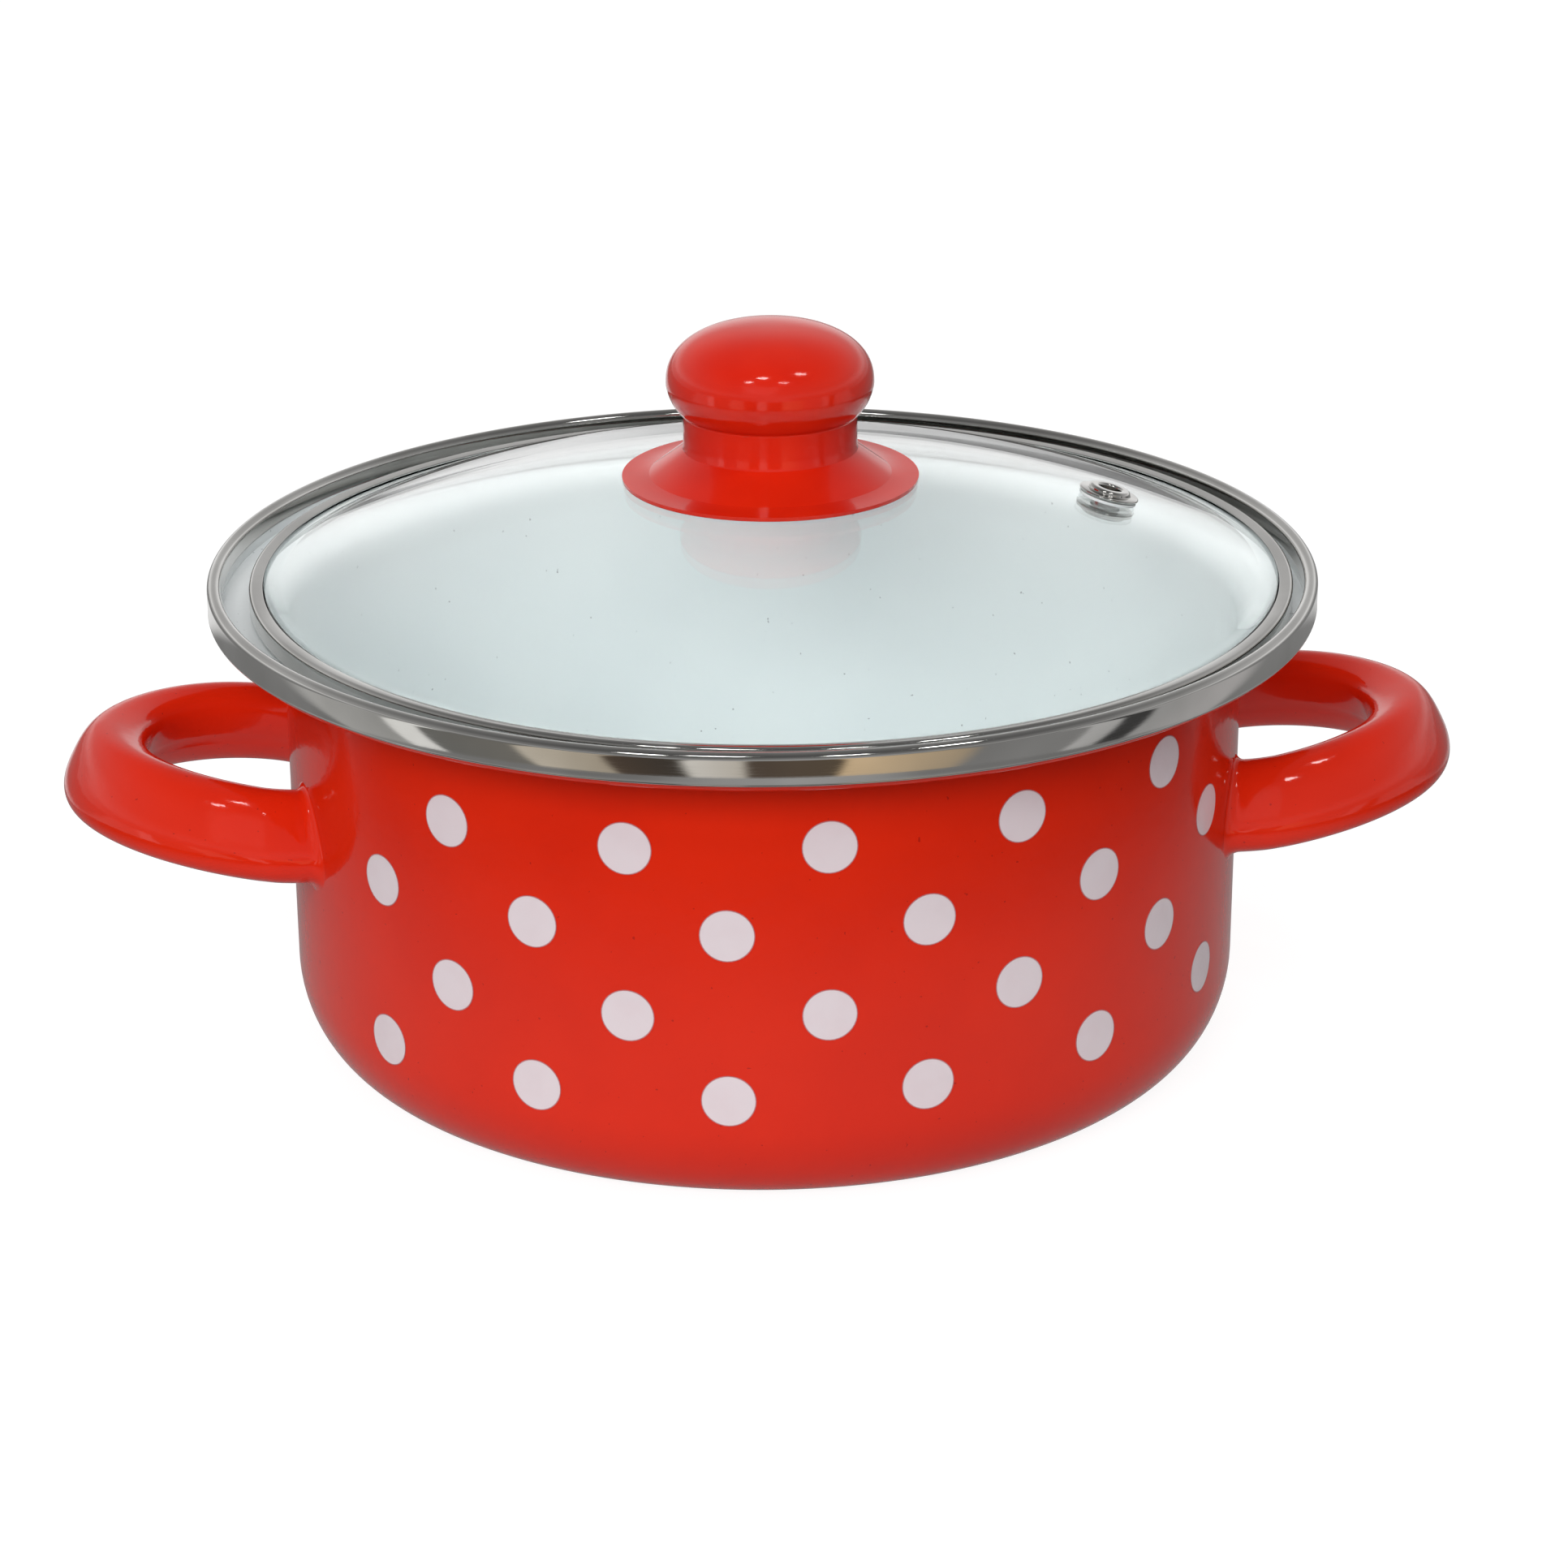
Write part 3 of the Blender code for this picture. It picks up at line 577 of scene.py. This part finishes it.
def handle_section(tall, wide, steps):
    """A rounded oblong as (outward, up) points, with a fine groove along its inner side."""
    power = 2.0 / handle_fullness
    points = []
    for i in range(steps):
        a = 2 * math.pi * i / steps
        groove = 1.0 - seam_depth / (0.5 * wide) * math.exp(-(((a - math.pi) / seam_spread) ** 2))
        x = groove * 0.5 * wide * signed_power(math.cos(a), power)
        y = 0.5 * tall * signed_power(math.sin(a), power)
        lean_x = x * math.cos(handle_lean) - y * math.sin(handle_lean)
        points.append((lean_x, x * math.sin(handle_lean) + y * math.cos(handle_lean)))
    return points


def handle_stations(bend_steps, leg_steps):
    """The loop's centre line at +X, its outward direction, and its distance from the weld."""
    root = math.sqrt(wall_radius**2 - (handle_half - handle_pinch) ** 2)
    bend_start = wall_radius + handle_leg
    leg, reach = bend_start - root, handle_reach - handle_leg
    half = []
    for i in range(leg_steps):
        left = 1.0 - (i / leg_steps) ** 2
        place = Vector((bend_start - leg * left, handle_half - handle_pinch * left**2, 0.0))
        half.append((place, Vector((0.0, 1.0, 0.0))))
    power = 2.0 / bend_fullness
    for i in range(bend_steps + 1):
        a = 0.5 * math.pi * (1.0 - i / bend_steps)
        along = max(math.cos(a), 0.0)
        place = Vector((bend_start + reach * along**power, handle_half * math.sin(a) ** power, 0.0))
        outward = Vector((along ** (2 - power) / reach, math.sin(a) ** (2 - power) / handle_half, 0.0))
        half.append((place, outward.normalized()))
    for place, _ in half:
        share = (place.x - root) / (leg + reach)
        place.z = handle_level + handle_rise * share * (1.0 + handle_bow * (1.0 - share))
    across = Vector((1.0, -1.0, 1.0))
    half = [(place, outward, place.x - root) for place, outward in half]
    return [(place * across, outward * across, weld) for place, outward, weld in half[:-1]] + half[::-1]


def make_handle(name, side):
    """One closed loop, its ends sunk just into the wall. side is 1 for +X and -1 for -X."""
    shape = bmesh.new()
    around = 96
    section = handle_section(handle_tall, handle_wide, around)
    stations = handle_stations(48, 20)
    buried = wall_radius - 0.0001
    skin = []
    for place, outward, from_weld in stations:
        short = max(weld_fillet - from_weld, 0.0)
        spread = weld_fillet - math.sqrt(max(weld_fillet**2 - short**2, 0.0))
        plump = bend_plump * (from_weld / stations[len(stations) // 2][2]) ** 6
        ring = []
        for across, up in section:
            across += min(across, 0.0) * plump
            flare = 1.0 + spread / math.hypot(across, up)
            point = place + outward * across * flare + Vector((0.0, 0.0, up * flare))
            if from_weld < turn_in:
                on_wall = math.sqrt(buried**2 - point.y**2)
                point.x += (on_wall - stations[0][0].x) * (1.0 - from_weld / turn_in)
            ring.append(shape.verts.new((side * point.x, point.y, point.z)))
        skin.append(ring)
    for before, after in zip(skin, skin[1:]):
        for i in range(around):
            j = (i + 1) % around
            shape.faces.new((before[i], before[j], after[j], after[i]))
    shape.faces.new(skin[0])
    shape.faces.new(skin[-1])
    bmesh.ops.recalc_face_normals(shape, faces=shape.faces)
    mesh = bpy.data.meshes.new(name)
    shape.to_mesh(mesh)
    shape.free()
    mesh.shade_smooth()
    mesh.set_sharp_from_angle(angle=math.radians(50.0))
    mesh.materials.append(red_enamel)
    piece = bpy.data.objects.new(name, mesh)
    scene.collection.objects.link(piece)
    return piece


for name, side, node in (("right_loop", 1, "handle_right"), ("left_loop", -1, "handle_left")):
    loop = make_handle(name, side)
    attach(loop, "pot")
    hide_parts(node)


# ---------------------------------------------------------------------------------------------
# The lid's glass: a pressed and tempered dome with a flat land under its edge, a centre hole for
# the knob's screw and a small hole for the vent. Its surface keeps a faint press ripple.

clear_glass = bpy.data.materials.new("clear_glass")
clear_glass.use_nodes = True
tree = clear_glass.node_tree
glass = tree.nodes["Principled BSDF"]
glass.inputs["Base Color"].default_value = (0.975, 0.992, 0.988, 1.0)
glass.inputs["Roughness"].default_value = 0.0
glass.inputs["IOR"].default_value = 1.5
glass.inputs["Transmission Weight"].default_value = 1.0
spot = Flow(tree, tree.nodes.new("ShaderNodeTexCoord").outputs["Object"])
ripple = spot.node("ShaderNodeBump", Strength=0.05, Distance=0.0005, Height=spot.noise(30.0, 1.0))
tree.links.new(ripple.socket, glass.inputs["Normal"])
open_to_lamps = tree.nodes.new("ShaderNodeBsdfTransparent")
open_to_lamps.inputs["Color"].default_value = (0.955, 0.975, 0.972, 1.0)
either = tree.nodes.new("ShaderNodeMixShader")
rays = tree.nodes.new("ShaderNodeLightPath")
tree.links.new(rays.outputs["Is Shadow Ray"], either.inputs[0])
tree.links.new(glass.outputs[0], either.inputs[1])
tree.links.new(open_to_lamps.outputs[0], either.inputs[2])
tree.links.new(either.outputs[0], tree.nodes["Material Output"].inputs["Surface"])

ring_low, ring_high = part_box("lid_ring")
lid_middle = Vector(((ring_low.x + ring_high.x) / 2, 0.0, 0.0))
ring_radius = (ring_high.x - ring_low.x) / 2
ring_bottom, ring_top = ring_low.z, ring_high.z
ring_sheet, ring_lip, lip_dip, ring_corner = 0.0004, 0.0029, 0.0002, 0.0009
ring_eye = ring_radius - ring_lip
dome, glass_thickness, centre_hole = 0.2760, 0.0038, 0.0036
dome_centre = ring_top - lip_dip - ring_sheet - gap - math.sqrt(dome**2 - ring_eye**2)
dome_inside = dome - glass_thickness
apex = dome_centre + dome
glass_radius = ring_radius - ring_sheet - 3 * gap
glass_land = ring_bottom + ring_sheet + gap
on_lid = Matrix.Translation(lid_middle)


def dome_height(radius, sphere=dome):
    return dome_centre + math.sqrt(sphere**2 - radius**2)


def dome_arc(sphere, start, end, steps):
    radii = [start + (end - start) * i / steps for i in range(steps + 1)]
    return [(r, dome_height(r, sphere)) for r in radii]


vent_distance, vent_bearing = 0.0720, math.radians(3.1)
vent_tilt = math.asin(vent_distance / dome)
vent_foot = Matrix.Translation((vent_distance, 0.0, dome_height(vent_distance)))
on_vent = on_lid @ Matrix.Rotation(vent_bearing, 4, "Z") @ vent_foot @ Matrix.Rotation(vent_tilt, 4, "Y")
vent_bore, vent_tube = 0.0024, 0.0029

land_radius = math.sqrt(dome_inside**2 - (glass_land - dome_centre) ** 2)
soft_edge = 0.0006
glass_outline = dome_arc(dome_inside, centre_hole, land_radius, 40)
glass_outline += arc((glass_radius - soft_edge, glass_land + soft_edge), (soft_edge, soft_edge), -90, 0, 6)
top_edge = dome_height(glass_radius) - soft_edge
glass_outline += [(glass_radius, top_edge)]
glass_outline += dome_arc(dome, glass_radius - soft_edge, centre_hole, 48)
lid_glass = turned("glass_dome", glass_outline, clear_glass, 192, on_lid)
drill_outline = [(0.0, -0.02), (vent_tube + gap, -0.02), (vent_tube + gap, 0.02), (0.0, 0.02)]
drill = turned("vent_drill", drill_outline, clear_glass, 48, on_vent)
bore = lid_glass.modifiers.new("vent_hole", "BOOLEAN")
bore.operation = "DIFFERENCE"
bore.solver = "EXACT"
bore.object = drill
lid_glass = baked(lid_glass, "glass_dome")
bpy.data.objects.remove(drill)
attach(lid_glass, "lid")
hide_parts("lid_glass")


# ---------------------------------------------------------------------------------------------
# The lid's ring: a stainless strip rolled round the edge of the glass as a channel. Its upper lip
# dips to follow the dome, and it is what rests on the pot's ledge.

inner_corner = ring_corner - ring_sheet
low = (ring_radius - ring_corner, ring_bottom + ring_corner)
high = (ring_radius - ring_corner, ring_top - ring_corner)
lip_top = ring_top - lip_dip
edge = ring_sheet / 2
outline = [(ring_eye + edge, ring_bottom)]
outline += arc(low, (ring_corner, ring_corner), -90, 0, 8)
outline += arc(high, (ring_corner, ring_corner), 0, 90, 12)
outline += arc((ring_eye + edge, lip_top - edge), (edge, edge), 90, 270, 8)
outline += arc(high, (inner_corner, inner_corner), 90, 0, 6)
outline += arc(low, (inner_corner, inner_corner), 0, -90, 6)
outline += arc((ring_eye + edge, ring_bottom + edge), (edge, edge), 90, 225, 5)
lid_ring = turned("glass_ring", outline, stainless, 256, on_lid)
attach(lid_ring, "lid")
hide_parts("lid_ring")


# ---------------------------------------------------------------------------------------------
# The steam vent: a stainless eyelet pushed through the glass from above, on a silicone gasket, and
# its tail rolled out under the glass over a washer.

silicone, spot, feed_silicone = finish("white_silicone", IOR=1.41)
feed_silicone(
    Base_Color=spot.noise(160.0, 2.0).rises(0.3, 0.7).blend((0.80, 0.82, 0.82, 1.0), (0.72, 0.75, 0.75, 1.0)),
    Roughness=0.45 + 0.15 * spot.noise(500.0, 2.0),
    Normal=spot.node("ShaderNodeBump", Strength=0.2, Distance=0.0002, Height=spot.noise(1500.0, 2.0)),
)


def washer_outline(bore, radius, bottom, top, soft=0.00012):
    """A flat ring with its four edges rounded over."""
    corners = ((radius, bottom, -90), (radius, top, 0), (bore, top, 90), (bore, bottom, 180))
    points = []
    for reach, height, start in corners:
        centre_x = reach - soft if reach == radius else reach + soft
        centre_y = height + soft if height == bottom else height - soft
        points += arc((centre_x, centre_y), (soft, soft), start, start + 90, 4)
    return points


flange_radius, collar_radius, collar_rise, flange_thickness = 0.00645, 0.0045, 0.0010, 0.0006
gasket_thickness, backing_thickness, backing_radius, tail_radius = 0.0006, 0.0006, 0.0062, 0.0048
flange_bottom = gap + gasket_thickness + gap
flange_top = flange_bottom + flange_thickness
collar_top = flange_top + collar_rise
washer_top = -glass_thickness - 2 * gap
washer_bottom = washer_top - backing_thickness
tail_top = washer_bottom - gap
tail_bottom = tail_top - (vent_tube - vent_bore)
half = flange_thickness / 2
roll = 0.0007
outline = [(vent_bore + 0.0004, tail_bottom), (tail_radius - 0.0002, tail_bottom)]
outline += [(tail_radius, tail_bottom + 0.0002), (tail_radius, tail_top)]
outline += [(vent_tube, tail_top), (vent_tube, flange_bottom)]
outline += arc((flange_radius - half, flange_bottom + half), (half, half), -90, 90, 8)
outline += arc((collar_radius + 0.0003, flange_top + 0.0003), (0.0003, 0.0003), -90, -180, 4)
outline += arc((collar_radius - roll, collar_top - roll), (roll, roll), 0, 90, 8)
outline += arc((vent_bore + 0.0005, collar_top - 0.0005), (0.0005, 0.0005), 90, 180, 6)
outline += [(vent_bore, tail_bottom + 0.0004)]
vent_eyelet = turned("vent_collar", outline, stainless, 64, on_vent)
outline = washer_outline(vent_tube + gap, flange_radius - gap, gap, gap + gasket_thickness)
vent_gasket = turned("vent_seal", outline, silicone, 64, on_vent)
outline = washer_outline(vent_tube + gap, backing_radius, washer_bottom, washer_top)
vent_washer = turned("vent_backing", outline, stainless, 64, on_vent)
for piece, node, slot in (
    (vent_eyelet, "vent_eyelet", "stainless"),
    (vent_gasket, "vent_gasket", "white_silicone"),
    (vent_washer, "vent_washer", "stainless"),
):
    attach(piece, "lid")
    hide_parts(node)


# ---------------------------------------------------------------------------------------------
# The knob: one gloss red moulding with a thin flared skirt, a neck, and a full rounded head. It is
# hollow from below, with a boss on its axis that holds the threaded insert. Known fault: the side of
# the hollow is a straight cone, which breaks out through the skirt's flare.

red_plastic, spot, feed_plastic = finish("red_plastic", IOR=1.5)
flow_marks = spot.noise(45.0, 2.0)
feed_plastic(
    Base_Color=flow_marks.rises(0.3, 0.75).blend((0.74, 0.020, 0.004, 1.0), (0.66, 0.014, 0.003, 1.0)),
    Roughness=0.07 + 0.07 * spot.noise(90.0, 3.0),
    Normal=spot.node(
        "ShaderNodeBump", Strength=0.10, Distance=0.0003,
        Height=spot.noise(150.0, 2.0) + 0.3 * spot.noise(1400.0, 1.0)),
)

skirt_radius, skirt_edge, neck_radius, neck_low, neck_high = 0.0311, 0.0009, 0.0182, 0.0074, 0.0129
head_radius, head_level, knob_top, head_fullness, skirt_flare = 0.0217, 0.0193, 0.0318, 2.3, 2.6
knob_wall, boss_radius, insert_radius, insert_length = 0.0026, 0.0080, 0.0048, 0.0130
fixing_gasket, hem_radius, hollow_bevel = 0.0010, 0.0003, 0.0015
skirt_bottom = dome_height(skirt_radius) - apex + gap
skirt_top = skirt_bottom + skirt_edge


def rounded(before, corner, after, radius, steps=8):
    """The arc that rounds the corner between two straight runs, as (radius, height) points."""
    before, corner, after = Vector(before), Vector(corner), Vector(after)
    to_before, to_after = (before - corner).normalized(), (after - corner).normalized()
    half_angle = 0.5 * to_before.angle(to_after)
    middle = corner + (to_before + to_after).normalized() * radius / math.sin(half_angle)
    start = corner + to_before * radius / math.tan(half_angle) - middle
    end = corner + to_after * radius / math.tan(half_angle) - middle
    return [tuple(middle + radius * start.slerp(end, i / steps)) for i in range(steps + 1)]


power = 2.0 / skirt_flare
flare = []
for i in range(25):
    a = 0.5 * math.pi * i / 24
    reach = skirt_radius - (skirt_radius - neck_radius) * math.sin(a) ** power
    flare.append((reach, neck_low - (neck_low - skirt_top) * math.cos(a) ** power))
power = 2.0 / head_fullness
head = []
for i in range(33):
    a = 0.5 * math.pi * i / 32
    reach = head_radius * math.cos(a) ** power if i < 32 else 0.0
    head.append((reach, head_level + (knob_top - head_level) * math.sin(a) ** power))
under_head = []
for i in range(16):
    down = i / 16
    reach = neck_radius + (head_radius - neck_radius) * (1.0 - down**1.5) ** (1.0 / 1.5)
    under_head.append((reach, head_level - (head_level - neck_high) * down))
neck_foot, neck_top = (neck_radius, neck_low), (neck_radius, neck_high)
neck = [neck_foot] + rounded(neck_foot, neck_top, under_head[-1], 0.0008) + under_head[:0:-1]
hem_middle = (skirt_radius - hem_radius, skirt_bottom + hem_radius)
outside = arc(hem_middle, (hem_radius, hem_radius), -90, 0, 4) + flare[:-1] + neck + head
foot = gap + fixing_gasket + gap
bore_radius, bore_top = insert_radius + gap, foot + insert_length + 2 * gap
core = neck_radius - knob_wall
inside = [(0.0, bore_top), (bore_radius, bore_top), (bore_radius, foot), (boss_radius, foot)]
inside += [(boss_radius + 0.0004, head_level - hollow_bevel), (boss_radius + hollow_bevel, head_level)]
inside += [(core - hollow_bevel, head_level), (core, head_level - hollow_bevel), (core, neck_low)]
inside.append((skirt_radius - 2 * knob_wall, skirt_bottom + skirt_edge))
inside.append((skirt_radius - skirt_edge, skirt_bottom))
knob_outline = [(reach, apex + height) for reach, height in inside + outside]
knob = turned("red_knob", knob_outline, red_plastic, 128, on_lid)
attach(knob, "lid")
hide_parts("knob")


# ---------------------------------------------------------------------------------------------
# What holds the knob: a knurled brass insert in its boss, a silicone washer above and below the
# glass, a plated steel washer, and a plated pan-head screw with a cross recess, driven from below.

brass, spot, feed_brass = finish("turned_brass", Metallic=1.0)
feed_brass(
    Base_Color=spot.noise(300.0, 2.0).rises(0.3, 0.7).blend((0.72, 0.50, 0.20, 1.0), (0.58, 0.39, 0.15, 1.0)),
    Roughness=0.24 + 0.14 * spot.noise(700.0, 2.0),
    Normal=spot.node("ShaderNodeBump", Strength=0.15, Distance=0.00005, Height=spot.noise(2500.0, 2.0)),
)
plated, spot, feed_plated = finish("plated_steel", Metallic=1.0)
dull = spot.noise(350.0, 3.0)
feed_plated(
    Base_Color=dull.rises(0.3, 0.7).blend((0.72, 0.73, 0.74, 1.0), (0.58, 0.60, 0.62, 1.0)),
    Roughness=0.22 + 0.18 * dull,
    Normal=spot.node("ShaderNodeBump", Strength=0.15, Distance=0.00005, Height=spot.noise(2000.0, 3.0)),
)

screw_radius, screw_head, screw_head_height, screw_dome, thread_clear = 0.0024, 0.0045, 0.0028, 0.0008, 0.0060
gasket_radius, washer_radius, washer_thickness, insert_edge = 0.0090, 0.0075, 0.0010, 0.0003
screw_clear = screw_radius + gap
upper_bottom = apex + gap
insert_bottom = upper_bottom + fixing_gasket + gap
insert_top = insert_bottom + insert_length
lower_top = dome_height(gasket_radius, dome_inside) - gap
steel_top = lower_top - fixing_gasket - gap
head_top = steel_top - washer_thickness - gap
head_bottom = head_top - screw_head_height
tip = insert_top - 0.0020

outline = washer_outline(screw_clear, insert_radius, insert_bottom, insert_top, insert_edge)
knob_insert = turned("brass_insert", outline, brass, 96, on_lid)
knurl_count, knurl_depth = 24, 0.00025
for vertex in knob_insert.data.vertices:
    out = Vector((vertex.co.x - lid_middle.x, vertex.co.y, 0.0))
    if out.length > insert_radius - 0.0001:
        ridge = 0.5 - 0.5 * math.cos(knurl_count * math.atan2(out.y, out.x))
        vertex.co -= out.normalized() * knurl_depth * ridge

outline = washer_outline(screw_clear, gasket_radius, upper_bottom, upper_bottom + fixing_gasket)
upper_gasket = turned("upper_seal", outline, silicone, 96, on_lid)
outline = washer_outline(screw_clear, gasket_radius, lower_top - fixing_gasket, lower_top)
lower_gasket = turned("lower_seal", outline, silicone, 96, on_lid)
outline = washer_outline(screw_clear, washer_radius, steel_top - washer_thickness, steel_top)
steel_washer = turned("steel_washer", outline, plated, 96, on_lid)

thread_pitch, thread_depth = 0.0008, 0.00030
thread_start = head_top + thread_clear
screw_outline = [(0.0, head_bottom), (0.72 * screw_head, head_bottom)]
head_curve = (0.28 * screw_head, screw_head_height - screw_dome)
screw_outline += arc((0.72 * screw_head, head_top - screw_dome), head_curve, -90, 0, 8)
screw_outline += [(screw_head, head_top), (screw_radius, head_top), (screw_radius, thread_start)]
turns = int((tip - thread_pitch - thread_start) / thread_pitch)
for i in range(turns):
    base = thread_start + i * thread_pitch
    screw_outline.append((screw_radius - thread_depth, base + 0.5 * thread_pitch))
    screw_outline.append((screw_radius, base + thread_pitch))
screw_outline += [(0.6 * screw_radius, tip), (0.0, tip)]
knob_screw = turned("cross_screw", screw_outline, plated, 48, on_lid)
cross_length, cross_width, cross_height = 0.0042, 0.0009, 0.0032
recess_place = Matrix.Translation((lid_middle.x, 0.0, head_bottom))
recess = bmesh.new()
for across, along in ((cross_length, cross_width), (cross_width, cross_length)):
    size = Matrix.Diagonal((across, along, cross_height, 1.0))
    bmesh.ops.create_cube(recess, size=1.0, matrix=recess_place @ size)
recess_mesh = bpy.data.meshes.new("cross_recess")
recess.to_mesh(recess_mesh)
recess.free()
cutter = bpy.data.objects.new("cross_recess", recess_mesh)
scene.collection.objects.link(cutter)
cross = knob_screw.modifiers.new("cross", "BOOLEAN")
cross.operation = "DIFFERENCE"
cross.solver = "EXACT"
cross.use_self = True
cross.object = cutter
knob_screw = baked(knob_screw, "cross_screw")
bpy.data.objects.remove(cutter)

for piece, node, slot in (
    (knob_insert, "knob_insert", "brass"),
    (upper_gasket, "knob_gasket_upper", "white_silicone"),
    (lower_gasket, "knob_gasket_lower", "white_silicone"),
    (steel_washer, "knob_washer", "plated_steel"),
    (knob_screw, "knob_screw", "plated_steel"),
):
    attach(piece, "lid")
    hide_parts(node)
